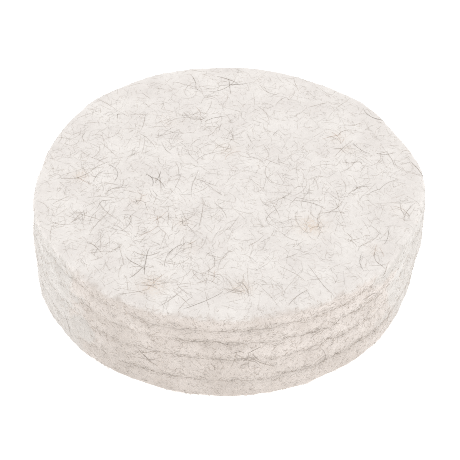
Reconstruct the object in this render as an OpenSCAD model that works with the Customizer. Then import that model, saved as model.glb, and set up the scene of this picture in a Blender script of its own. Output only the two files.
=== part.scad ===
// Laminated wool felt polishing wheel, 100 mm, with a hook-and-loop back.
// Axis on Z, loop back on z = 0, working face up. All sizes in millimetres.

/* [Wheel] */
// Diameter of the felt
wheel_d = 100; // [60:1:200]
// Radius of the soft shoulder round the working face
shoulder_r = 1.5; // [0.8:0.1:1.8]
// Radius of the soft edges where two plies meet at the rim
edge_r = 0.8; // [0.3:0.1:1.2]

/* [Felt plies] */
// Thickness of the ply that carries the working face
face_ply_t = 4.1; // [3.5:0.1:8]
// Thickness of the ply under the face ply
upper_ply_t = 4.7; // [3:0.1:8]
// Thickness of the ply at mid height
middle_ply_t = 5.3; // [3:0.1:8]
// Thickness of the thickest ply, under the middle one
lower_ply_t = 6.1; // [3:0.1:8]
// Thickness of the ply that carries the backing
base_ply_t = 5.2; // [3:0.1:8]

/* [Adhesive] */
// Thickness of each glue film
glue_t = 0.2; // [0.1:0.05:0.4]
// How far the glue between two plies stops short of the rim
glue_inset = 1.5; // [1.3:0.1:4]

/* [Loop backing] */
// Thickness of the loop fabric
backing_t = 1.4; // [0.8:0.1:3]
// How far the loop fabric stops short of the rim
backing_inset = 2; // [1.3:0.1:5]
// Radius of the loop fabric's two edges
backing_edge_r = 0.3; // [0.1:0.05:0.35]

/* [Hidden] */
$fn = 160;

wheel_r = wheel_d / 2;
bond_r = wheel_r - glue_inset;
backing_r = wheel_r - backing_inset;

face_colour = [0.91, 0.89, 0.87];
felt_colour = [0.87, 0.84, 0.81];
base_colour = [0.85, 0.81, 0.78];
glue_colour = [0.72, 0.66, 0.58];
loop_colour = [0.90, 0.89, 0.85];

// Heights of the stack, from the loop back up
base_ply_z = backing_t + glue_t;
base_bond_z = base_ply_z + base_ply_t;
lower_ply_z = base_bond_z + glue_t;
lower_bond_z = lower_ply_z + lower_ply_t;
middle_ply_z = lower_bond_z + glue_t;
upper_bond_z = middle_ply_z + middle_ply_t;
upper_ply_z = upper_bond_z + glue_t;
face_bond_z = upper_ply_z + upper_ply_t;
face_ply_z = face_bond_z + glue_t;

// Half section of a disc of radius r and thickness t, with its low and high edges rounded.
module rounded_section(r, t, low_r, high_r) {
    square([r - low_r, t / 2]);
    translate([0, t / 2]) square([r - high_r, t / 2]);
    translate([0, low_r]) square([r, t - low_r - high_r]);
    translate([r - low_r, low_r]) circle(low_r);
    translate([r - high_r, t - high_r]) circle(high_r);
}

// A felt ply of thickness t standing on height z, with a soft lower and upper edge.
module felt_ply(z, t, high_r) {
    translate([0, 0, z]) rotate_extrude() rounded_section(wheel_r, t, edge_r, high_r);
}

// A glue film of radius r standing on height z.
module glue_film(z, r) {
    color(glue_colour) translate([0, 0, z]) cylinder(h = glue_t, r = r);
}

// The working face and the felt just under it.
module face_ply() {
    color(face_colour) felt_ply(face_ply_z, face_ply_t, shoulder_r);
}

module upper_ply() {
    color(felt_colour) felt_ply(upper_ply_z, upper_ply_t, edge_r);
}

module middle_ply() {
    color(felt_colour) felt_ply(middle_ply_z, middle_ply_t, edge_r);
}

module lower_ply() {
    color(felt_colour) felt_ply(lower_ply_z, lower_ply_t, edge_r);
}

// The ply that the backing is glued to.
module base_ply() {
    color(base_colour) felt_ply(base_ply_z, base_ply_t, edge_r);
}

// The glue between the face ply and the upper ply.
module face_bond() {
    glue_film(face_bond_z, bond_r);
}

// The glue between the upper ply and the middle ply.
module upper_bond() {
    glue_film(upper_bond_z, bond_r);
}

// The glue between the middle ply and the lower ply.
module lower_bond() {
    glue_film(lower_bond_z, bond_r);
}

// The glue between the lower ply and the base ply.
module base_bond() {
    glue_film(base_bond_z, bond_r);
}

// The glue that holds the loop fabric to the base ply.
module backing_adhesive() {
    glue_film(backing_t, backing_r);
}

// Brushed loop fabric that a hook-faced backing pad grips.
module loop_backing() {
    color(loop_colour)
        rotate_extrude() rounded_section(backing_r, backing_t, backing_edge_r, backing_edge_r);
}

loop_backing();
backing_adhesive();
base_ply();
base_bond();
lower_ply();
lower_bond();
middle_ply();
upper_bond();
upper_ply();
face_bond();
face_ply();
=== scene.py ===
import math
from itertools import product

import bpy
import numpy as np
from mathutils import Matrix, Vector


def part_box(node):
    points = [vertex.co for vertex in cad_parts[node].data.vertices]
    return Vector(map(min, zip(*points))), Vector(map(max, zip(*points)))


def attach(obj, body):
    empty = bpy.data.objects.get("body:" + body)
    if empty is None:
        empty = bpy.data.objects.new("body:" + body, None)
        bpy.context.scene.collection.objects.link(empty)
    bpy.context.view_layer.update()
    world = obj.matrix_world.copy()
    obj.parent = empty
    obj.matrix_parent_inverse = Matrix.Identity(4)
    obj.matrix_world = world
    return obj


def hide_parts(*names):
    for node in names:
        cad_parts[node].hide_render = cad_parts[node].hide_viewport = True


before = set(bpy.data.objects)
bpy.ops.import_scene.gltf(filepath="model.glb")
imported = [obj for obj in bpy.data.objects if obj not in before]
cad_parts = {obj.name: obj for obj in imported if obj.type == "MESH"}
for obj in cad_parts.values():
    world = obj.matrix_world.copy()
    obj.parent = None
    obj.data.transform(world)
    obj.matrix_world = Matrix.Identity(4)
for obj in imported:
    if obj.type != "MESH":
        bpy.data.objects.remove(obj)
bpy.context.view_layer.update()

# A laminated wool felt polishing wheel: five felt plies, the glue between them, a loop fabric back,
# and the loose fibres on every felt surface. Lengths are in metres, and MM turns millimetres into metres.
MM = 0.001
BODY = "root"

# ---------------------------------------------------------------- sizes from the CAD frame

PLIES = ("base_ply", "lower_ply", "middle_ply", "upper_ply", "face_ply")
BONDS = ("base_bond", "lower_bond", "upper_bond", "face_bond")


def mid_height(node):
    low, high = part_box(node)
    return (low.z + high.z) / 2


face_low, face_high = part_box("face_ply")
base_low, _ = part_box("base_ply")
bond_low, bond_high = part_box("face_bond")
back_low, back_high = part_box("loop_backing")
WHEEL_R = (face_high.x - face_low.x) / 2
FACE_Z = face_high.z
FELT_BACK_Z = base_low.z
FELT_H = FACE_Z - FELT_BACK_Z
SEAM_Z = tuple(mid_height(bond) for bond in BONDS)
BOND_R = (bond_high.x - bond_low.x) / 2
GLUE_T = bond_high.z - bond_low.z
BACK_R = (back_high.x - back_low.x) / 2
BACK_H = back_high.z

# ---------------------------------------------------------------- shape of the felt

SHOULDER_R = 1.5 * MM
CLOSED_EDGE = 0.04 * MM
OPEN_EDGE = 0.11 * MM
PLY_BULGE = 0.13 * MM
PLY_STEP = 0.22 * MM
RIM_GAP = 0.02 * MM
SKIN_STEP = 0.42 * MM
BACK_EDGE = 0.35 * MM
SEAM_EASE = 0.4 * MM
AROUND = 720
FILM_AROUND = 180
TURN = 2 * math.pi

# Where the wheel isn't round: angle and half width in degrees, height and half height as shares of the
# felt, and how far the rim stands out there, or in where it is below 0.
LOBES = (
    (-178, 8, 1.00, 0.30, -0.5 * MM),
    (171, 8, 1.00, 0.30, -1.2 * MM),
    (158, 9, 1.00, 0.35, -0.6 * MM),
    (130, 15, 0.95, 0.35, 1.6 * MM),
    (108, 12, 0.95, 0.35, 0.8 * MM),
    (82, 36, 0.95, 0.35, 1.15 * MM),
    (60, 12, 0.95, 0.35, -0.3 * MM),
    (40, 10, 0.95, 0.35, 0.5 * MM),
    (22, 9, 0.95, 0.35, -0.5 * MM),
    (0, 20, 0.75, 0.55, 1.4 * MM),
    (-22, 14, 0.05, 0.35, -1.15 * MM),
    (-18, 8, 0.60, 0.35, 0.6 * MM),
    (-172, 10, 0.45, 0.40, 0.4 * MM),
    (-150, 16, 0.95, 0.30, -0.7 * MM),
    (-42, 14, 0.95, 0.30, 0.7 * MM),
    (-92, 48, 0.00, 0.30, 0.50 * MM),
)

# Stretches where pale fleece hides the cut edge and its seams: angle and half width in degrees, and half
# the width in degrees of the border that they fade over.
FLEECY = ((-162, 22), (-12, 24), (78, 20))
FLEECE_BORDER = 3.5

# Smaller patches of fleece: angle and half width in degrees, height and half height as shares of the felt.
FLEECE_PATCHES = (
    (-34, 10, 0.93, 0.16),
    (-32, 6, 0.62, 0.10),
    (-136, 5, 0.35, 0.12),
    (50, 9, 0.80, 0.20),
)

# Where each seam gapes most, from the lowest seam up: angle and half width in degrees.
GAPES = (
    ((-110, 9), (-55, 20), (110, 30), (40, 12)),
    ((-108, 8), (-86, 12), (-60, 8), (150, 22), (30, 14)),
    ((-97, 10), (-62, 22), (125, 20)),
    ((-60, 22), (20, 14), (140, 20)),
)


def smooth_noise(points, feature, seed):
    """Noise from -1 to 1 at an array of (x, y, z) points, with features about `feature` across."""
    grid = points / feature + 31.7
    low = np.floor(grid).astype(np.int64)
    part = grid - low
    part = part * part * (3 - 2 * part)
    lattice = np.random.default_rng(seed).uniform(-1, 1, 4096)
    total = np.zeros(points.shape[:-1])
    for i, j, k in product((0, 1), repeat=3):
        key = (
            (low[..., 0] + i) * 73856093
            ^ (low[..., 1] + j) * 19349663
            ^ (low[..., 2] + k) * 83492791
        )
        weight = (
            np.abs(1 - i - part[..., 0])
            * np.abs(1 - j - part[..., 1])
            * np.abs(1 - k - part[..., 2])
        )
        total += weight * lattice[key & 4095]
    return total


def smooth_step(low, high, value):
    """0 at low or less, 1 at high or more, and smooth between."""
    t = np.clip((value - low) / (high - low), 0, 1)
    return t * t * (3 - 2 * t)


def ring_points(radius, angle, height):
    """Points at a radius, an angle and a height."""
    return np.stack([radius * np.cos(angle), radius * np.sin(angle), height + 0 * angle], axis=-1)


def around(angle, height):
    """Points on a plain cylinder of the wheel's radius, to read noise at."""
    return ring_points(WHEEL_R, angle, height)


def degrees_away(angle, at):
    """How far an angle in radians is from one in degrees, from -180 to 180 degrees."""
    return (np.degrees(angle) - at + 180) % 360 - 180


def out_of_round(angle, height):
    """How far the rim stands outside a true circle."""
    share = (height - FELT_BACK_Z) / FELT_H
    total = 0.25 * MM * smooth_noise(around(angle, height), 22 * MM, 11)
    total = total + 0.20 * MM * smooth_noise(around(angle, height), 5.5 * MM, 12)
    for at, wide, up, tall, amount in LOBES:
        away = degrees_away(angle, at)
        total = total + amount * np.exp(-((away / wide) ** 2) - ((share - up) / tall) ** 2)
    return total


def fleece_cover(angle, height):
    """1 where pale fleece hides the cut edge, 0 where the edge is bare, with a ragged border."""
    ragged = 6 * smooth_noise(around(angle, height), 6 * MM, 71)
    ragged = ragged + 4 * smooth_noise(around(angle, height), 1.8 * MM, 72)
    total = 0 * angle
    for at, wide in FLEECY:
        away = np.abs(degrees_away(angle, at))
        reach = away + ragged
        bare = smooth_step(wide - FLEECE_BORDER, wide + FLEECE_BORDER, reach)
        total = np.maximum(total, 1 - bare)
    share = (height - FELT_BACK_Z) / FELT_H
    for at, wide, up, tall in FLEECE_PATCHES:
        away = np.abs(degrees_away(angle, at))
        reach = np.hypot(away / wide, (share - up) / tall) + 0.06 * ragged
        total = np.maximum(total, 1 - smooth_step(0.8, 1.3, reach))
    return total


def seam_height(index, angle, radius):
    """Height of the seam above ply `index`, which waves more towards the rim."""
    rim = around(angle, SEAM_Z[index] * 3)
    wave = 0.8 * MM * smooth_noise(rim, 17 * MM, 21 + index)
    wave = wave + 0.7 * MM * smooth_noise(rim, 4.5 * MM, 31 + index)
    wave = wave + 0.4 * MM * smooth_noise(rim, 1.7 * MM, 36 + index)
    return SEAM_Z[index] + wave * smooth_step(WHEEL_R * 0.7, WHEEL_R, radius)


def seam_open(index, angle):
    """How far the seam above ply `index` gapes at the rim: 0 where fluff closes it, up to 1."""
    rim = around(angle, SEAM_Z[index] * 5)
    gape = 0.12 + 0.5 * smooth_noise(rim, 2.4 * MM, 66 + index)
    for at, wide in GAPES[index]:
        away = np.abs(degrees_away(angle, at))
        gape = gape + 0.65 * (1 - smooth_step(wide * 0.5, wide * 1.4, away))
    return np.clip(gape, 0, 1) * (1 - 0.85 * fleece_cover(angle, SEAM_Z[index]))


def seam_shadow(angle, height):
    """How deep in a seam's soft shadow a place on the rim is; the shadow lies mostly above the seam."""
    total = 0 * angle
    for i in range(len(SEAM_Z)):
        away = height - seam_height(i, angle, WHEEL_R + 0 * angle) - 0.3 * MM
        band = np.exp(-((away / (0.9 * MM)) ** 2)) * (0.3 + 0.7 * seam_open(i, angle))
        total = np.maximum(total, band)
    return total


def seam_gap(angle, height):
    """Distance from a height on the rim to the nearest seam."""
    gaps = [
        np.abs(height - seam_height(i, angle, WHEEL_R + 0 * angle))
        for i in range(len(SEAM_Z))
    ]
    return np.min(gaps, axis=0)


def wall_radius(angle, height):
    """Radius of the rim at a height, before its edges are rounded."""
    gap = seam_gap(angle, height)
    bulge = PLY_BULGE * (smooth_step(0, 2.0 * MM, gap) - 1)
    return WHEEL_R + out_of_round(angle, height) + bulge + ply_step(angle, height)


def ply_step(angle, height):
    """How far each ply's edge stands out past its neighbours', eased across the seams."""
    total = 0 * angle
    for i in range(len(PLIES)):
        own = PLY_STEP * smooth_noise(around(angle, 90 * MM * i), 16 * MM, 81 + i)
        share = 1 + 0 * angle
        if i > 0:
            below = seam_height(i - 1, angle, WHEEL_R + 0 * angle)
            share = share * smooth_step(-SEAM_EASE, SEAM_EASE, height - below)
        if i < len(SEAM_Z):
            above = seam_height(i, angle, WHEEL_R + 0 * angle)
            share = share * smooth_step(-SEAM_EASE, SEAM_EASE, above - height)
        total = total + own * share
    return total


def relief(points, upright):
    """Height of the felt's tufts at points; upright is 0 on the face and 1 on the rim."""
    soft = 0.10 * MM * smooth_noise(points, 9 * MM, 41) * (1 - upright)
    soft = soft + (0.05 + 0.08 * upright) * MM * smooth_noise(points, 3.1 * MM, 42)
    tuft = (0.03 + 0.05 * upright) * MM * smooth_noise(points, 1.5 * MM, 43)
    fine = (0.015 + 0.03 * upright) * MM * smooth_noise(points, 0.85 * MM, 44)
    return soft + tuft + fine


FACE_EDGE = WHEEL_R - SHOULDER_R
SHOULDER_ARC = SHOULDER_R * math.pi / 2
SKIN_LENGTH = FACE_EDGE + SHOULDER_ARC + FELT_H - SHOULDER_R


def skin(along, angle):
    """Points and outward normals of the felt's outer skin, without tufts.

    along is the distance from the centre of the face, over the shoulder and down the rim.
    """
    turn = np.clip((along - FACE_EDGE) / SHOULDER_ARC, 0, 1) * math.pi / 2
    down = np.maximum(along - FACE_EDGE - SHOULDER_ARC, 0)
    height = FACE_Z - SHOULDER_R * (1 - np.cos(turn)) - down
    wall = wall_radius(angle, height)
    reach = wall - SHOULDER_R * (1 - np.sin(turn))
    flat = along * (wall - SHOULDER_R) / FACE_EDGE
    radius = np.where(along < FACE_EDGE, flat, reach)
    points = ring_points(radius, angle, height)
    lean = np.sin(turn)
    normals = np.stack([lean * np.cos(angle), lean * np.sin(angle), np.cos(turn)], axis=-1)
    return points, normals


# ---------------------------------------------------------------- meshes


def new_object(name, points, corners, sizes, smooth=True):
    """A mesh object from points, each face's corners in one row, and each face's number of corners."""
    mesh = bpy.data.meshes.new(name)
    mesh.vertices.add(len(points))
    mesh.vertices.foreach_set("co", np.asarray(points, np.float32).ravel())
    mesh.loops.add(len(corners))
    mesh.loops.foreach_set("vertex_index", np.asarray(corners, np.int32))
    mesh.polygons.add(len(sizes))
    starts = np.concatenate([[0], np.cumsum(sizes)[:-1]])
    mesh.polygons.foreach_set("loop_start", starts.astype(np.int32))
    mesh.update(calc_edges=True)
    mesh.polygons.foreach_set("use_smooth", np.full(len(sizes), smooth))
    obj = bpy.data.objects.new(name, mesh)
    bpy.context.scene.collection.objects.link(obj)
    return obj


def lathe(name, rings):
    """A closed turned body from an array of rings of points, with its ends drawn to a point on the axis."""
    count, sides, _ = rings.shape
    first = rings[0].mean(axis=0)
    last = rings[-1].mean(axis=0)
    points = np.concatenate([rings.reshape(-1, 3), [first, last]])
    here = np.arange(sides)
    following = (here + 1) % sides
    rows = np.arange(count - 1)[:, None] * sides
    quads = np.stack(
        [rows + here, rows + sides + here, rows + sides + following, rows + following], axis=-1
    )
    start = count * sides
    top = (count - 1) * sides
    first_fan = np.stack([here * 0 + start, here, following], axis=-1)
    last_fan = np.stack([here * 0 + start + 1, top + following, top + here], axis=-1)
    corners = np.concatenate([quads.ravel(), first_fan.ravel(), last_fan.ravel()])
    sizes = np.concatenate([np.full(quads.size // 4, 4), np.full(2 * sides, 3)])
    return new_object(name, points, corners, sizes)


def add_attribute(obj, name, values):
    layer = obj.data.attributes.new(name, "FLOAT", "POINT")
    layer.data.foreach_set("value", np.asarray(values, np.float32))


def mesh_points(obj):
    points = np.zeros(len(obj.data.vertices) * 3, np.float32)
    obj.data.vertices.foreach_get("co", points)
    return points.reshape(-1, 3).astype(float)


# ---------------------------------------------------------------- materials


def srgb(red, green, blue):
    """A linear colour with alpha, from sRGB values of 0 to 255."""
    channels = []
    for value in (red, green, blue):
        v = value / 255
        channels.append(v / 12.92 if v <= 0.04045 else ((v + 0.055) / 1.055) ** 2.4)
    return (*channels, 1.0)


def new_material(name, roughness, sheen=0.0):
    material = bpy.data.materials.new(name)
    material.use_nodes = True
    shader = material.node_tree.nodes["Principled BSDF"]
    shader.inputs["Roughness"].default_value = roughness
    shader.inputs["Specular IOR Level"].default_value = 0.25
    shader.inputs["Sheen Weight"].default_value = sheen
    shader.inputs["Sheen Roughness"].default_value = 0.6
    return material, material.node_tree, shader


def noise_node(tree, place, feature, detail=2.0, roughness=0.5, distortion=0.0):
    node = tree.nodes.new("ShaderNodeTexNoise")
    node.inputs["Scale"].default_value = 1 / feature
    node.inputs["Detail"].default_value = detail
    node.inputs["Roughness"].default_value = roughness
    node.inputs["Distortion"].default_value = distortion
    tree.links.new(place, node.inputs["Vector"])
    return node.outputs["Fac"]


def ramp_node(tree, factor, stops):
    """A colour ramp; stops are (position, colour)."""
    node = tree.nodes.new("ShaderNodeValToRGB")
    ramp = node.color_ramp
    while len(ramp.elements) < len(stops):
        ramp.elements.new(1.0)
    for element, (position, colour) in zip(ramp.elements, stops):
        element.position = position
        element.color = colour
    tree.links.new(factor, node.inputs["Fac"])
    return node.outputs["Color"]


def mix_node(tree, factor, first, second, blend="MIX"):
    """Mixes two colours, each a socket or a constant, by a socket or a number."""
    node = tree.nodes.new("ShaderNodeMix")
    node.data_type = "RGBA"
    node.blend_type = blend
    for socket, value in ((node.inputs[0], factor), (node.inputs[6], first), (node.inputs[7], second)):
        if isinstance(value, bpy.types.NodeSocket):
            tree.links.new(value, socket)
        else:
            socket.default_value = value
    return node.outputs[2]


def math_node(tree, operation, *values):
    node = tree.nodes.new("ShaderNodeMath")
    node.operation = operation
    for socket, value in zip(node.inputs, values):
        if isinstance(value, bpy.types.NodeSocket):
            tree.links.new(value, socket)
        else:
            socket.default_value = value
    return node.outputs[0]


def attribute_node(tree, name):
    node = tree.nodes.new("ShaderNodeAttribute")
    node.attribute_name = name
    return node.outputs["Fac"]


def grey(level):
    return (level, level, level, 1.0)


FACE_TINT = srgb(228, 222, 217)
FACE_PALE = srgb(237, 232, 227)
RIM_TINT = srgb(208, 198, 190)
RIM_PALE = srgb(222, 213, 206)
FLEECE_TINT = srgb(200, 195, 189)
FLEECE_PALE = srgb(213, 209, 204)
# Grey that the shade attribute mixes the felt towards: painted shadow at the seams and painted shade low on
# the rim, with real mottling and a greyer stretch.
SHADE_AND_MOTTLE_TINT = srgb(170, 161, 152)
STAIN_TINT = srgb(218, 197, 176)


def fibre_lines(tree, place, feature, width, turn):
    """Thin wandering lines, 1 on a line and 0 off it, where a warped noise crosses its middle value."""
    mapping = tree.nodes.new("ShaderNodeMapping")
    mapping.inputs["Rotation"].default_value = (turn, turn * 0.7, turn * 1.9)
    mapping.inputs["Scale"].default_value = (1.0, 0.45, 1.0)
    tree.links.new(place, mapping.inputs["Vector"])
    field = noise_node(tree, mapping.outputs["Vector"], feature, 1.5, 0.5, 0.6)
    away = math_node(tree, "ABSOLUTE", math_node(tree, "SUBTRACT", field, 0.5))
    line = tree.nodes.new("ShaderNodeMapRange")
    line.inputs["From Min"].default_value = 0.0
    line.inputs["From Max"].default_value = width
    line.inputs["To Min"].default_value = 1.0
    line.inputs["To Max"].default_value = 0.0
    tree.links.new(away, line.inputs["Value"])
    gate = noise_node(tree, place, feature * 0.9, 0.0)
    shown = math_node(tree, "GREATER_THAN", gate, 0.52)
    return math_node(tree, "MULTIPLY", line.outputs["Result"], shown)


def felt_material(name):
    """Pressed wool felt: cloudy, with fleecy speckle and faint buried fibres. The cut edge is warmer, and
    painted shade darkens it at the seams and low on the rim.
    """
    material, tree, shader = new_material(name, 0.92, 0.35)
    place = tree.nodes.new("ShaderNodeTexCoord").outputs["Object"]
    warmth = attribute_node(tree, "warmth")
    stain = attribute_node(tree, "stain")
    shade = attribute_node(tree, "shade")

    cloud = noise_node(tree, place, 9 * MM, 4.0, 0.62)
    face = ramp_node(tree, cloud, ((0.36, FACE_TINT), (0.64, FACE_PALE)))
    rim = ramp_node(tree, cloud, ((0.34, RIM_TINT), (0.66, RIM_PALE)))
    pale_rim = ramp_node(tree, cloud, ((0.34, FLEECE_TINT), (0.66, FLEECE_PALE)))
    rim = mix_node(tree, attribute_node(tree, "fleece"), rim, pale_rim)
    colour = mix_node(tree, warmth, face, rim)
    # Painted shade: seam shadow and darkening low on the rim, with real mottling, mixed into the colour.
    colour = mix_node(tree, shade, colour, SHADE_AND_MOTTLE_TINT)

    fleece = noise_node(tree, place, 1.1 * MM, 3.0, 0.65)
    fleece_tone = ramp_node(tree, fleece, ((0.30, grey(0.96)), (0.70, grey(1.03))))
    colour = mix_node(tree, 1.0, colour, fleece_tone, "MULTIPLY")
    speck = noise_node(tree, place, 0.42 * MM, 2.0, 0.6)
    speck_tone = ramp_node(tree, speck, ((0.30, grey(0.94)), (0.66, grey(1.03))))
    speck_share = math_node(tree, "MULTIPLY_ADD", warmth, 0.35, 0.25)
    colour = mix_node(tree, speck_share, colour, mix_node(tree, 1.0, colour, speck_tone, "MULTIPLY"))

    for feature, width, turn, depth in ((3.2 * MM, 0.012, 0.4, 0.06), (2.1 * MM, 0.016, 2.1, 0.05)):
        lines = fibre_lines(tree, place, feature, width, turn)
        colour = mix_node(
            tree, math_node(tree, "MULTIPLY", lines, depth), colour, srgb(150, 138, 126)
        )
    stain_noise = noise_node(tree, place, 0.5 * MM, 2.0)
    stain_share = math_node(
        tree, "MULTIPLY", stain, math_node(tree, "MULTIPLY_ADD", stain_noise, 3.0, -1.0)
    )
    stain_share.node.use_clamp = True
    colour = mix_node(tree, stain_share, colour, STAIN_TINT)
    tree.links.new(colour, shader.inputs["Base Color"])

    bump = tree.nodes.new("ShaderNodeBump")
    bump.inputs["Strength"].default_value = 0.5
    bump.inputs["Distance"].default_value = 0.12 * MM
    tree.links.new(speck, bump.inputs["Height"])
    tree.links.new(bump.outputs["Normal"], shader.inputs["Normal"])
    return material


def glue_material():
    """Dried glue soaked into fluff: amber and cream, with a dull shine."""
    material, tree, shader = new_material("dried_glue", 0.5)
    place = tree.nodes.new("ShaderNodeTexCoord").outputs["Object"]
    blotch = noise_node(tree, place, 2.5 * MM, 3.0, 0.6)
    colour = ramp_node(
        tree,
        blotch,
        ((0.3, srgb(176, 158, 134)), (0.55, srgb(198, 184, 162)), (0.75, srgb(212, 202, 186))),
    )
    tree.links.new(colour, shader.inputs["Base Color"])
    return material


def thread_material(name, tint, roughness=0.75):
    material, _, shader = new_material(name, roughness, 0.2)
    shader.inputs["Base Color"].default_value = tint
    return material


# ---------------------------------------------------------------- felt plies

felt = felt_material("pressed_wool_felt")
glue = glue_material()

# Stained mats of hair on the face: direction in degrees, distance from the centre as a
# share of the radius, how far the hairs spread in millimetres, how many there are, and how tan the felt is.
STAINED_MATS = (
    (-40, 0.55, 3.6, 4, 0.8),
    (-85, 0.80, 2.6, 6, 0.6),
    (-115, 0.85, 3.4, 5, 0.6),
    (175, 0.75, 2.2, 4, 0.6),
    (30, 0.70, 2.4, 4, 0.3),
)

# Tangles of coarse dark hairs that cross one another, in the same form.
TANGLES = (
    (-125, 0.75, 5.0, 4, 0.0),
    (175, 0.35, 3.0, 4, 0.0),
    (90, 0.80, 5.0, 3, 0.0),
)


def placed_mats(table):
    """Rows of a mat table with x, y and spread in metres."""
    mats = []
    for direction, share, spread, count, tan in table:
        turn = math.radians(direction)
        reach = share * WHEEL_R
        mats.append((reach * math.cos(turn), reach * math.sin(turn), spread * MM, count, tan))
    return mats


def faint_mats(seed, count):
    """Looser mats at random places on the face, some of them a little tan."""
    rng = np.random.default_rng(seed)
    table = []
    for _ in range(count):
        direction = rng.uniform(-180, 180)
        share = 0.93 * math.sqrt(rng.random())
        spread = rng.uniform(2.0, 2.8)
        hairs = rng.integers(3, 6)
        table.append((direction, share, spread, hairs, rng.uniform(0, 0.35)))
    return placed_mats(table)


MATS = placed_mats(STAINED_MATS) + faint_mats(111, 14)

# A stretch of the rim that is a little greyer than the rest, in degrees.
DUSKY_AT = -126
DUSKY_WIDE = 15


def stain_amount(points):
    """How tan the felt is: most in the middle of a stained mat, and nothing below the shoulder."""
    total = np.zeros(len(points))
    for x, y, spread, _, strength in MATS:
        away = np.hypot(points[:, 0] - x, points[:, 1] - y) / (spread * 0.9)
        total = np.maximum(total, strength * np.exp(-away * away))
    return total * (points[:, 2] > FACE_Z - 2 * SHOULDER_R)


def paint_felt(obj):
    """Stores where the felt is warm, stained or fleecy, and where painted shade darkens it."""
    points = mesh_points(obj)
    radius = np.hypot(points[:, 0], points[:, 1])
    angle = np.arctan2(points[:, 1], points[:, 0])
    ragged = 0.5 * MM * smooth_noise(points, 2.4 * MM, 51)
    ragged = ragged + 0.5 * MM * smooth_noise(points, 0.8 * MM, 55)
    below = smooth_step(0.1 * MM, 1.6 * MM, FACE_Z - points[:, 2] + ragged)
    cut_edge = smooth_step(WHEEL_R - 4 * MM, WHEEL_R - 2 * MM, radius)
    cover = fleece_cover(angle, points[:, 2])
    add_attribute(obj, "warmth", below * cut_edge)
    add_attribute(obj, "fleece", 0.9 * cover)
    add_attribute(obj, "stain", stain_amount(points))
    # Painted shade: the rim gets darker towards its bottom.
    low = 1 - smooth_step(0, 0.9, (points[:, 2] - FELT_BACK_Z) / FELT_H)
    patchy = 0.6 + 0.3 * smooth_noise(points, 4 * MM, 52)
    patchy = patchy + 0.25 * smooth_noise(points, 1.1 * MM, 53)
    # Painted shadow in and above the seams, in patches, and weaker under fleece.
    shadow = seam_shadow(angle, points[:, 2]) * patchy * (1 - 0.7 * cover)
    mottled = np.clip(smooth_noise(points, 5.5 * MM, 54), 0, 1)
    dusky = np.exp(-(((np.degrees(angle) - DUSKY_AT) / DUSKY_WIDE) ** 2))
    # Painted shade from low and shadow, plus the rim's real mottling and greyer stretch.
    dark = 0.17 * low + 0.42 * shadow + 0.14 * mottled + 0.22 * dusky
    add_attribute(obj, "shade", cut_edge * below * np.clip(dark, 0, 1))


def edge_steps(radius):
    """(inset, rise) pairs round a quarter edge, from its flat end to its upright end."""
    turns = np.linspace(0, math.pi / 2, 5)
    return [(radius * (1 - math.sin(t)), radius * (1 - math.cos(t))) for t in turns]


def ply_floor(index, angle, radius):
    """Height of the underside of ply `index`."""
    if index == 0:
        return FELT_BACK_Z + 0 * angle
    return seam_height(index - 1, angle, radius) + half_gap(radius)


def ply_ceiling(index, angle, radius):
    """Height of the top of ply `index`."""
    if index == len(PLIES) - 1:
        return FACE_Z + 0 * angle
    return seam_height(index, angle, radius) - half_gap(radius)


def half_gap(radius):
    """Half the space between two plies, which closes outside the glue."""
    return RIM_GAP / 2 + (GLUE_T - RIM_GAP) / 2 * (1 - smooth_step(BOND_R, WHEEL_R, radius))


def edge_radius(index, angle):
    """Radius of the felt's edge at the seam above ply `index`, or at the back for -1."""
    if index < 0:
        return BACK_EDGE + 0 * angle
    return CLOSED_EDGE + (OPEN_EDGE - CLOSED_EDGE) * seam_open(index, angle)


def felt_ply(index):
    """One felt ply as a closed turned body, with soft edges and tufts."""
    angle = np.arange(AROUND) * TURN / AROUND
    rings = []
    inner_radii = WHEEL_R * np.array([0.04, 0.2, 0.4, 0.55, 0.7, 0.8, 0.87, 0.93, 0.965])
    for radius in inner_radii:
        height = ply_floor(index, angle, radius)
        rings.append(ring_points(radius, angle, height))
    is_face = index == len(PLIES) - 1
    rim = WHEEL_R + 0 * angle
    low = ply_floor(index, angle, rim)
    high = ply_ceiling(index, angle, rim)
    low_edge = edge_radius(index - 1, angle)
    for inset, rise in edge_steps(low_edge):
        rings.append(wall_ring(angle, low + rise, inset))
    top_edge = SHOULDER_R if is_face else edge_radius(index, angle)
    tall = high - low - low_edge - top_edge
    steps = int(round(tall.mean() / SKIN_STEP))
    for step in range(1, steps):
        rings.append(wall_ring(angle, low + low_edge + tall * step / steps, 0.0))
    if is_face:
        turns = np.arange(SHOULDER_ARC, 0, -SKIN_STEP)
        face = np.arange(FACE_EDGE, 0.3 * MM, -SKIN_STEP * 1.15)
        for along in (*(FACE_EDGE + turns), *face):
            points, normals = skin(along + 0 * angle, angle)
            rings.append(points + normals * relief(points, normals_lean(normals))[:, None])
    else:
        for inset, rise in reversed(edge_steps(top_edge)):
            rings.append(wall_ring(angle, high - rise, inset))
        for radius in reversed(inner_radii):
            height = ply_ceiling(index, angle, radius)
            rings.append(ring_points(radius, angle, height))
    ply = lathe(PLIES[index] + "_felt", np.array(rings))
    paint_felt(ply)
    ply.data.materials.append(felt)
    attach(ply, BODY)
    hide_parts(PLIES[index])
    return ply


def normals_lean(normals):
    """How upright the surface is under each normal: 0 on the face and 1 on the rim."""
    return np.hypot(normals[..., 0], normals[..., 1])


def wall_ring(angle, height, inset):
    """A ring of points on the rim, with tufts, drawn in by inset."""
    radius = wall_radius(angle, height)
    tufts = relief(ring_points(radius, angle, height), 1.0)
    return ring_points(radius + tufts - inset, angle, height)


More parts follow.
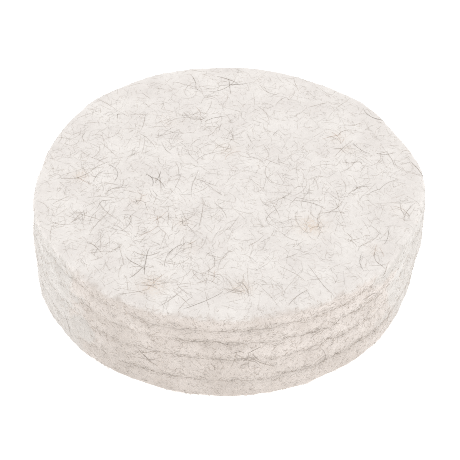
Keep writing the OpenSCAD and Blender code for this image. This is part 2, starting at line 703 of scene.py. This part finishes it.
def glue_film(index):
    """The glue in one seam, which follows the seam's wave."""
    angle = np.arange(FILM_AROUND) * TURN / FILM_AROUND
    radii = BOND_R * np.array([0.04, 0.3, 0.6, 0.75, 0.85, 0.93, 0.97, 1.0])
    rings = []
    for side, order in ((-1, radii), (1, radii[::-1])):
        for radius in order:
            height = seam_height(index, angle, radius) + side * GLUE_T / 2
            rings.append(ring_points(radius, angle, height))
    film = lathe(BONDS[index] + "_film", np.array(rings))
    film.data.materials.append(glue)
    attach(film, BODY)
    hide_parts(BONDS[index])
    return film


for ply_index in range(len(PLIES)):
    felt_ply(ply_index)
for bond_index in range(len(BONDS)):
    glue_film(bond_index)
for adhesive_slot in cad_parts["backing_adhesive"].material_slots:
    adhesive_slot.material = glue

# ---------------------------------------------------------------- loop fabric back

KNIT_T = 0.45 * MM
KNIT_EDGE = 0.12 * MM
KNIT_STEP = 0.5 * MM
KNIT_AROUND = 480
KNIT_TOP_STEP = 12
KNIT_FRAY = 0.1 * MM
KNIT_RIDGE = 0.08 * MM
WALE = 1.5 * MM
COURSE = 1.2 * MM
LOOP_TALL = 0.85 * MM
LOOP_WIDE = 0.75 * MM
LOOP_THREAD_R = 0.06 * MM
LOOP_STEPS = 8
LOOP_JITTER = 0.26 * MM


def knit_relief(x, y):
    """The ridges of the knitted ground: wales run along Y, and their stitches repeat along each wale."""
    ridge = np.abs(np.cos(math.pi * x / WALE))
    stitch = 0.5 + 0.5 * np.cos(TURN * y / COURSE + 2 * ridge)
    return KNIT_RIDGE * ridge * (0.5 + 0.5 * stitch)


def knit_ground():
    """The knitted ground of the loop fabric, with its ridges on the underside."""
    angle = np.arange(KNIT_AROUND) * TURN / KNIT_AROUND
    radii = np.arange(0.5 * MM, BACK_R - KNIT_EDGE, KNIT_STEP)
    rings = []
    for radius in radii:
        x = radius * np.cos(angle)
        y = radius * np.sin(angle)
        rings.append(np.stack([x, y, BACK_H - KNIT_T - knit_relief(x, y)], axis=-1))
    for height in (BACK_H - KNIT_T + KNIT_EDGE, BACK_H - KNIT_EDGE):
        frayed = BACK_R + KNIT_FRAY * smooth_noise(around(angle, height), 1.2 * MM, 95)
        rings.append(ring_points(frayed, angle, height))
    for radius in radii[::-KNIT_TOP_STEP]:
        rings.append(ring_points(radius, angle, BACK_H))
    ground = lathe("loop_fabric_ground", np.array(rings))
    ground.data.materials.append(knit_material())
    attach(ground, BODY)
    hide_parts("loop_backing")
    return ground


def loop_pile():
    """Rows of small thread loops that hang from the knitted ground, each leaning its own way."""
    rng = np.random.default_rng(600)
    columns = np.arange(-BACK_R, BACK_R, WALE)
    rows = np.arange(-BACK_R, BACK_R, COURSE)
    places = np.stack(np.meshgrid(columns, rows), axis=-1).reshape(-1, 2)
    places = places + rng.normal(0, LOOP_JITTER, places.shape)
    places = places[np.hypot(places[:, 0], places[:, 1]) < BACK_R - LOOP_WIDE]
    count = len(places)
    heading = rng.uniform(0, TURN, count)[:, None]
    lean = rng.uniform(-0.5, 0.5, count)[:, None] * LOOP_TALL
    tall = rng.uniform(0.8, 1.0, count)[:, None] * LOOP_TALL
    turn = np.linspace(0, math.pi, LOOP_STEPS)[None, :]
    reach = LOOP_WIDE / 2 * np.cos(turn)
    drop = tall * np.sin(turn)
    sway = lean * np.sin(turn)
    x = places[:, :1] + reach * np.cos(heading) - sway * np.sin(heading)
    y = places[:, 1:] + reach * np.sin(heading) + sway * np.cos(heading)
    z = BACK_H - KNIT_T - drop
    paths = np.stack([x, y, z], axis=-1)
    normals = np.stack([-np.sin(heading) + 0 * x, np.cos(heading) + 0 * x, 0 * x], axis=-1)
    tints = rng.integers(0, len(LOOP_THREAD), count)
    return fibres(
        "loop_fabric_pile", paths, normals, np.full(count, LOOP_THREAD_R), tints, LOOP_THREAD,
    )


def knit_material():
    """Knitted nylon ground, off white, with a fine darker and lighter mottle and broader soiling."""
    material, tree, shader = new_material("knitted_ground", 0.7, 0.3)
    place = tree.nodes.new("ShaderNodeTexCoord").outputs["Object"]
    yarn = noise_node(tree, place, 0.5 * MM, 3.0, 0.6)
    tone = ramp_node(
        tree,
        yarn,
        ((0.3, srgb(196, 191, 184)), (0.55, srgb(219, 215, 209)), (0.75, srgb(229, 226, 221))),
    )
    soil = noise_node(tree, place, 11 * MM, 3.0, 0.6)
    soiled = ramp_node(tree, soil, ((0.35, grey(0.93)), (0.65, grey(1.0))))
    colour = mix_node(tree, 1.0, tone, soiled, "MULTIPLY")
    tree.links.new(colour, shader.inputs["Base Color"])
    return material


# ---------------------------------------------------------------- loose fibres

TUBE_SIDES = 3
RIM_THINNING = 0.6
CARDING = 1.6


def wander(rng, count, lengths, steps, bend, kink_share, kink, heading=None):
    """(count, steps, 2) paths on a flat sheet, each from 0, 0 and bent by about `bend` radians in all."""
    if heading is None:
        heading = rng.uniform(0, TURN, count)
    arc = rng.normal(0, bend, (count, 1)) * np.linspace(0, 1, steps)
    wobble = np.cumsum(rng.normal(0, bend / steps, (count, steps)), axis=1)
    turns = heading[:, None] + arc + wobble
    kinked = rng.random(count) < kink_share
    at = rng.uniform(0.2, 0.8, count) * steps
    amount = rng.uniform(0.5, 1, count) * kink * rng.choice([-1, 1], count)
    turns += (kinked * amount)[:, None] * (np.arange(steps) > at[:, None])
    pace = lengths[:, None] / (steps - 1)
    moves = np.stack([np.cos(turns), np.sin(turns)], axis=-1) * pace[..., None]
    paths = np.cumsum(moves, axis=1)
    return paths - paths[:, :1]


def lifted(rng, count, steps, low, high, dip):
    """How far each fibre stands off the felt along its length."""
    base = rng.uniform(low, high, (count, 1))
    phase = rng.uniform(0, TURN, (count, 1))
    waves = rng.uniform(0.5, 1.6, (count, 1))
    return base + dip * np.sin(phase + waves * TURN * np.linspace(0, 1, steps))


def on_face(paths, lift):
    """Lays flat paths, centred on the face, over the face and down the rim."""
    along = np.hypot(paths[..., 0], paths[..., 1])
    angle = np.arctan2(paths[..., 1], paths[..., 0])
    return on_skin(along, angle, lift)


def on_rim(paths, lift):
    """Lays flat paths, x round the rim and y up it, onto the rim."""
    angle = paths[..., 0] / WHEEL_R
    along = FACE_EDGE + SHOULDER_ARC + (FACE_Z - SHOULDER_R - paths[..., 1])
    return on_skin(along, angle, lift)


def on_skin(along, angle, lift):
    """Points and normals that stand off the tufted skin by lift."""
    along = np.clip(along, 0, SKIN_LENGTH - 0.1 * MM)
    points, normals = skin(along, angle)
    lean = normals_lean(normals)
    height = relief(points, lean) + lift
    return points + normals * height[..., None], normals


def fibres(name, paths, normals, radii, tints, materials):
    """One piece of thin tapered tubes along paths, with each tube's material chosen by tints."""
    count, steps, _ = paths.shape
    tangent = np.gradient(paths, axis=1)
    tangent /= np.linalg.norm(tangent, axis=-1, keepdims=True) + 1e-12
    side = np.cross(tangent, normals)
    side /= np.linalg.norm(side, axis=-1, keepdims=True) + 1e-12
    up = np.cross(side, tangent)
    ends = np.abs(np.linspace(-1, 1, steps)) ** 3
    thick = radii[:, None] * (1 - 0.75 * ends)
    rings = []
    for corner in range(TUBE_SIDES):
        turn = math.pi / 2 + corner * TURN / TUBE_SIDES
        rings.append(paths + (math.cos(turn) * side + math.sin(turn) * up) * thick[..., None])
    points = np.stack(rings, axis=2)
    first = (np.arange(count) * steps * TUBE_SIDES)[:, None, None]
    ring = (np.arange(steps - 1) * TUBE_SIDES)[None, :, None]
    here = np.arange(TUBE_SIDES)[None, None, :]
    following = (here + 1) % TUBE_SIDES
    base = first + ring
    quads = np.stack(
        [base + here, base + following, base + TUBE_SIDES + following, base + TUBE_SIDES + here],
        axis=-1,
    )
    start = first[:, 0, :]
    end = start + (steps - 1) * TUBE_SIDES
    caps = np.concatenate([start + here[0, :, ::-1], end + here[0]], axis=0)
    corners = np.concatenate([quads.ravel(), caps.ravel()])
    sizes = np.concatenate([np.full(quads.size // 4, 4), np.full(2 * count, 3)])
    obj = new_object(name, points.reshape(-1, 3), corners, sizes)
    for material in materials:
        obj.data.materials.append(material)
    chosen = np.concatenate([np.repeat(tints, (steps - 1) * TUBE_SIDES), tints, tints])
    obj.data.polygons.foreach_set("material_index", chosen.astype(np.int32))
    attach(obj, BODY)
    return obj


def hair_tints(name, roughness, *tints):
    """One plain material for each tint, in sRGB."""
    return [
        thread_material("%s_%d" % (name, i), srgb(*tint), roughness) for i, tint in enumerate(tints)
    ]


DARK_HAIR = hair_tints(
    "dark_hair", 0.75, (130, 118, 105), (148, 136, 123), (164, 151, 138), (156, 143, 130)
)
GREY_HAIR = hair_tints(
    "grey_hair", 0.75, (176, 165, 153), (186, 175, 165), (181, 168, 154), (194, 184, 175)
)
FINE_HAIR = hair_tints(
    "fine_hair", 0.75, (195, 187, 178), (203, 195, 187), (208, 201, 194), (199, 188, 177)
)
FAINT_HAIR = hair_tints(
    "faint_hair", 0.85, (206, 199, 192), (213, 206, 199), (218, 211, 205), (210, 200, 190)
)
TAN_HAIR = hair_tints(
    "tan_hair", 0.75, (176, 142, 112), (190, 158, 130), (150, 120, 96), (166, 140, 120)
)
PALE_FUZZ = hair_tints(
    "pale_fuzz", 0.9, (240, 235, 230), (234, 227, 220), (226, 217, 208), (216, 206, 196)
)


class Strand:
    """How one kind of fibre grows.

    length, width, lift and dip are in millimetres, bend and kink are in radians, steps is its number of
    points, and kinked is the share of fibres that have a kink.
    """

    def __init__(self, length, width, lift, dip, steps, bend, kink, kinked):
        self.length = length
        self.width = width
        self.lift = lift
        self.dip = dip
        self.steps = steps
        self.bend = bend
        self.kink = kink
        self.kinked = kinked

    def grow(self, rng, count, heading=None):
        """Paths on a flat sheet, from 0, 0, and how far each stands off it along its length."""
        lengths = rng.uniform(*self.length, count) * MM
        paths = wander(
            rng, count, lengths, self.steps, self.bend, self.kinked, self.kink, heading
        )
        low, high = self.lift
        lift = lifted(rng, count, self.steps, low * MM, high * MM, self.dip * MM)
        return paths, lift

    def radii(self, rng, count):
        return rng.uniform(*self.width, count) * MM / 2


KEMP = Strand((3.5, 12.0), (0.05, 0.09), (0.03, 0.06), 0.01, 26, 0.9, 1.4, 0.18)
TANGLED = Strand((5.0, 10.0), (0.08, 0.125), (0.03, 0.06), 0.01, 26, 0.8, 1.0, 0.1)
LONG_HAIR = Strand((3.0, 9.0), (0.045, 0.072), (0.02, 0.05), 0.015, 20, 0.8, 1.2, 0.18)
MATTED = Strand((2.2, 7.5), (0.04, 0.065), (0.02, 0.07), 0.02, 18, 0.9, 1.4, 0.25)
FINE = Strand((2.0, 6.0), (0.035, 0.055), (0.01, 0.04), 0.02, 10, 0.7, 1.0, 0.2)
FAINT = Strand((1.0, 3.5), (0.03, 0.05), (0.0, 0.03), 0.02, 6, 0.7, 1.0, 0.2)
FUZZ = Strand((1.0, 3.5), (0.03, 0.07), (-0.03, 0.03), 0.04, 6, 1.6, 1.6, 0.35)
RIM_FUZZ = Strand((0.7, 2.2), (0.04, 0.09), (-0.03, 0.06), 0.05, 6, 2.0, 1.8, 0.4)
RIM_HAIR = Strand((0.7, 2.6), (0.03, 0.06), (-0.03, 0.05), 0.05, 8, 1.8, 1.6, 0.4)
RIM_LONG = Strand((2.5, 7.0), (0.05, 0.10), (0.03, 0.10), 0.03, 18, 0.7, 1.3, 0.3)
WISP = Strand((1.0, 3.2), (0.03, 0.06), (0.05, 0.30), 0.15, 8, 1.4, 1.6, 0.3)
SEAM_HAIR = Strand((0.8, 2.6), (0.03, 0.055), (-0.04, 0.05), 0.05, 8, 1.0, 1.2, 0.3)


def scattered_on_face(rng, count, sparse):
    """Places on the face, thinned in clouds and towards the rim where sparse is above 0."""
    tries = count * 6
    radius = FACE_EDGE * np.sqrt(rng.random(tries))
    angle = rng.uniform(0, TURN, tries)
    places = np.stack([radius * np.cos(angle), radius * np.sin(angle)], axis=-1)
    points = np.concatenate([places, np.zeros((tries, 1))], axis=-1)
    cloud = 0.6 + 0.55 * smooth_noise(points, 11 * MM, 91)
    edge = smooth_step(WHEEL_R * 0.78, WHEEL_R * 0.97, radius)
    keep = (1 - sparse) + sparse * np.clip(cloud, 0, 1) * (1 - 0.8 * edge)
    return places[rng.random(tries) < keep][:count]


def carded(rng, count):
    """Headings on the face: every way, but more of them near the Y direction the wool was carded in."""
    turn = rng.uniform(0, TURN, count)
    return np.arctan2(CARDING * np.sin(turn), np.cos(turn))


def face_fibres(name, seed, count, strand, materials, sparse):
    """Fibres strewn over the working face."""
    rng = np.random.default_rng(seed)
    places = scattered_on_face(rng, count, sparse)
    count = len(places)
    paths, lift = strand.grow(rng, count, carded(rng, count))
    middle = paths[:, strand.steps // 2]
    points, normals = on_face(paths - middle[:, None] + places[:, None], lift)
    tints = rng.integers(0, len(materials), count)
    return fibres(
        name, points, normals, strand.radii(rng, count), tints, materials
    )


def matted_hairs(name, seed, mats, strand, materials):
    """Crossing hairs gathered round the middle of each mat or tangle."""
    rng = np.random.default_rng(seed)
    places = []
    for x, y, spread, count, _ in mats:
        places.append(rng.normal((x, y), spread * 0.5, (count, 2)))
    places = np.concatenate(places)
    count = len(places)
    paths, lift = strand.grow(rng, count, carded(rng, count))
    middle = paths[:, strand.steps // 2]
    points, normals = on_face(paths - middle[:, None] + places[:, None], lift)
    tints = rng.integers(0, len(materials), count)
    return fibres(
        name, points, normals, strand.radii(rng, count), tints, materials
    )


def small_mats(seed, count):
    """Mats of three to six hairs at random places on the face."""
    rng = np.random.default_rng(seed)
    places = scattered_on_face(rng, count, 0.5)
    sizes = rng.integers(3, 7, count)
    return [(x, y, 2.2 * MM, size, 0.0) for (x, y), size in zip(places, sizes)]


def rim_fibres(name, seed, low, high, count, strand, materials):
    """Fibres strewn over the rim between two heights."""
    rng = np.random.default_rng(seed)
    angle = rng.uniform(-math.pi, math.pi, count)
    height = rng.uniform(low, high, count)
    bare = rng.random(count) > RIM_THINNING * fleece_cover(angle, height)
    places = np.stack([angle * WHEEL_R, height], axis=-1)[bare]
    count = len(places)
    paths, lift = strand.grow(rng, count)
    points, normals = on_rim(paths + places[:, None], lift)
    tints = rng.integers(0, len(materials), count)
    return fibres(name, points, normals, strand.radii(rng, count), tints, materials)


def seam_hairs(index, count):
    """Short hairs that lie mostly along one seam and bridge it, more of them where it gapes."""
    rng = np.random.default_rng(400 + index)
    angle = rng.uniform(0, TURN, count * 4)
    angle = angle[rng.random(count * 4) < 0.1 + 0.9 * seam_open(index, angle)][:count]
    count = len(angle)
    heading = rng.normal(0, 0.5, count) + math.pi * rng.integers(0, 2, count)
    paths, lift = SEAM_HAIR.grow(rng, count, heading)
    seam = seam_height(index, angle, WHEEL_R + 0 * angle) + rng.normal(0.2, 0.5, count) * MM
    paths = paths + np.stack([angle * WHEEL_R, seam], axis=-1)[:, None]
    points, normals = on_rim(paths, lift)
    tints = rng.integers(0, len(GREY_HAIR), count)
    return fibres(
        BONDS[index] + "_seam_hairs", points, normals, SEAM_HAIR.radii(rng, count), tints,
        GREY_HAIR,
    )


# Tufts of longer hairs on the rim: angle in degrees, height above the felt's back and spread in
# millimetres, and how many hairs there are.
TUFTS = (
    (-84, 12.5, 3.0, 9),
    (-114, 9.0, 2.4, 3),
    (-62, 6.0, 3.0, 2),
    (25, 8.0, 3.0, 4),
    (64, 16.0, 3.5, 5),
    (118, 6.0, 3.0, 5),
    (150, 13.0, 3.0, 4),
)


def tufted_hairs():
    """The longer hairs of every tuft on the rim; each tuft has its own main heading."""
    rng = np.random.default_rng(500)
    materials = DARK_HAIR + GREY_HAIR
    places = []
    headings = []
    for angle, height, spread, count in TUFTS:
        middle = (math.radians(angle) * WHEEL_R / MM, FELT_BACK_Z / MM + height)
        places.append(rng.normal(middle, spread * 0.5, (count, 2)) * MM)
        headings.append(rng.uniform(0, TURN) + rng.normal(0, 0.8, count))
    places = np.concatenate(places)
    count = len(places)
    paths, lift = RIM_LONG.grow(rng, count, np.concatenate(headings))
    middle = paths[:, RIM_LONG.steps // 2]
    points, normals = on_rim(paths - middle[:, None] + places[:, None], lift)
    tints = rng.integers(0, len(materials), count)
    return fibres(
        "rim_tufts", points, normals, RIM_LONG.radii(rng, count), tints, materials
    )


LOOP_THREAD = hair_tints("loop_thread", 0.55, (226, 222, 216), (214, 209, 202), (233, 230, 226))
fabric_ground = knit_ground()
fabric_pile = loop_pile()

matted_hairs("face_tangles", 109, placed_mats(TANGLES), TANGLED, DARK_HAIR)
face_fibres("face_dark_hairs", 101, 34, KEMP, DARK_HAIR, 0.6)
face_fibres("face_grey_hairs", 102, 150, LONG_HAIR, GREY_HAIR, 0.6)
face_fibres("face_fine_hairs", 104, 780, FINE, FINE_HAIR, 0.5)
face_fibres("face_faint_hairs", 105, 3000, FAINT, FAINT_HAIR, 0.3)
face_fibres("face_fuzz", 103, 1500, FUZZ, PALE_FUZZ, 0.0)
matted_hairs("face_mats", 106, MATS, MATTED, DARK_HAIR[1:] + GREY_HAIR + TAN_HAIR[:2])
matted_hairs("face_small_mats", 107, small_mats(108, 10), MATTED, GREY_HAIR + FINE_HAIR)

heights = (FELT_BACK_Z, *SEAM_Z, FACE_Z)
for ply_index, ply_name in enumerate(PLIES):
    low_z = heights[ply_index]
    high_z = heights[ply_index + 1]
    share = (high_z - low_z) / FELT_H
    rim_fibres(
        ply_name + "_rim_fuzz", 200 + ply_index, low_z, high_z, int(9000 * share), RIM_FUZZ,
        PALE_FUZZ,
    )
    rim_fibres(
        ply_name + "_rim_hairs", 300 + ply_index, low_z, high_z, int(3200 * share), RIM_HAIR,
        FINE_HAIR,
    )
rim_fibres("rim_wisps", 210, FELT_BACK_Z, FACE_Z, 900, WISP, PALE_FUZZ[1:] + FINE_HAIR)
for bond_index in range(len(BONDS)):
    seam_hairs(bond_index, 640)
tufted_hairs()
rim_fibres("rim_dark_hairs", 110, FELT_BACK_Z, FACE_Z, 26, RIM_LONG, DARK_HAIR)

# ---------------------------------------------------------------- floor, light and camera


def softbox(name, place, size, power):
    """A round soft light that faces the wheel."""
    data = bpy.data.lights.new(name, "AREA")
    data.shape = "DISK"
    data.size = size
    data.energy = power
    light = bpy.data.objects.new(name, data)
    bpy.context.scene.collection.objects.link(light)
    light.location = place
    towards = Vector((0, 0, FACE_Z)) - light.location
    light.rotation_euler = towards.to_track_quat("-Z", "Y").to_euler()


def studio():
    """A pale floor, a bright even sky and soft lights above, at both sides and in front."""
    bpy.ops.mesh.primitive_plane_add(size=6.0, location=(0, 0, 0))
    floor = bpy.context.object
    floor.name = "studio_floor"
    material, _, shader = new_material("pale_floor", 0.9)
    shader.inputs["Base Color"].default_value = (0.9, 0.9, 0.9, 1)
    shader.inputs["Emission Color"].default_value = (1, 1, 1, 1)
    shader.inputs["Emission Strength"].default_value = FLOOR_GLOW
    floor.data.materials.append(material)

    world = bpy.data.worlds.new("studio_sky")
    bpy.context.scene.world = world
    world.use_nodes = True
    sky = world.node_tree.nodes["Background"]
    sky.inputs["Color"].default_value = (1, 1, 1, 1)
    sky.inputs["Strength"].default_value = SKY_STRENGTH
    softbox("softbox_above", (-0.1, 0.15, 0.9), 0.7, 1.85)
    softbox("softbox_left", (-0.9, 0.1, 0.40), 0.7, 1.1)
    softbox("softbox_right", (0.9, 0.1, 0.40), 0.7, 1.6)
    softbox("softbox_front", (0.1, -0.95, 0.35), 0.7, 0.5)


SKY_STRENGTH = 0.76
FLOOR_GLOW = 0.6

CAMERA_DISTANCE = 7.859 * WHEEL_R
CAMERA_ELEVATION = math.radians(41.10)
CAMERA_ROLL = math.radians(0.71)
AIM_RIGHT = 0.99 * MM
AIM_DOWN = 2.76 * MM


def camera():
    """The camera, which looks a little below the middle of the felt."""
    data = bpy.data.cameras.new("camera")
    data.sensor_width = 36.0
    data.lens = 116.8
    obj = bpy.data.objects.new("camera", data)
    bpy.context.scene.collection.objects.link(obj)
    middle = Vector((0, 0, (FACE_Z + FELT_BACK_Z) / 2))
    back = Vector((0, -math.cos(CAMERA_ELEVATION), math.sin(CAMERA_ELEVATION)))
    up = Vector((0, math.sin(CAMERA_ELEVATION), math.cos(CAMERA_ELEVATION)))
    obj.location = middle + back * CAMERA_DISTANCE
    aim = middle + Vector((AIM_RIGHT, 0, 0)) - up * AIM_DOWN
    turn = (aim - obj.location).to_track_quat("-Z", "Y").to_matrix()
    obj.rotation_euler = (turn @ Matrix.Rotation(-CAMERA_ROLL, 3, "Z")).to_euler()
    bpy.context.scene.camera = obj


studio()
camera()
bpy.context.scene.view_settings.view_transform = "Standard"
bpy.context.scene.cycles.use_denoising = False
bpy.context.scene.cycles.filter_width = 1.0
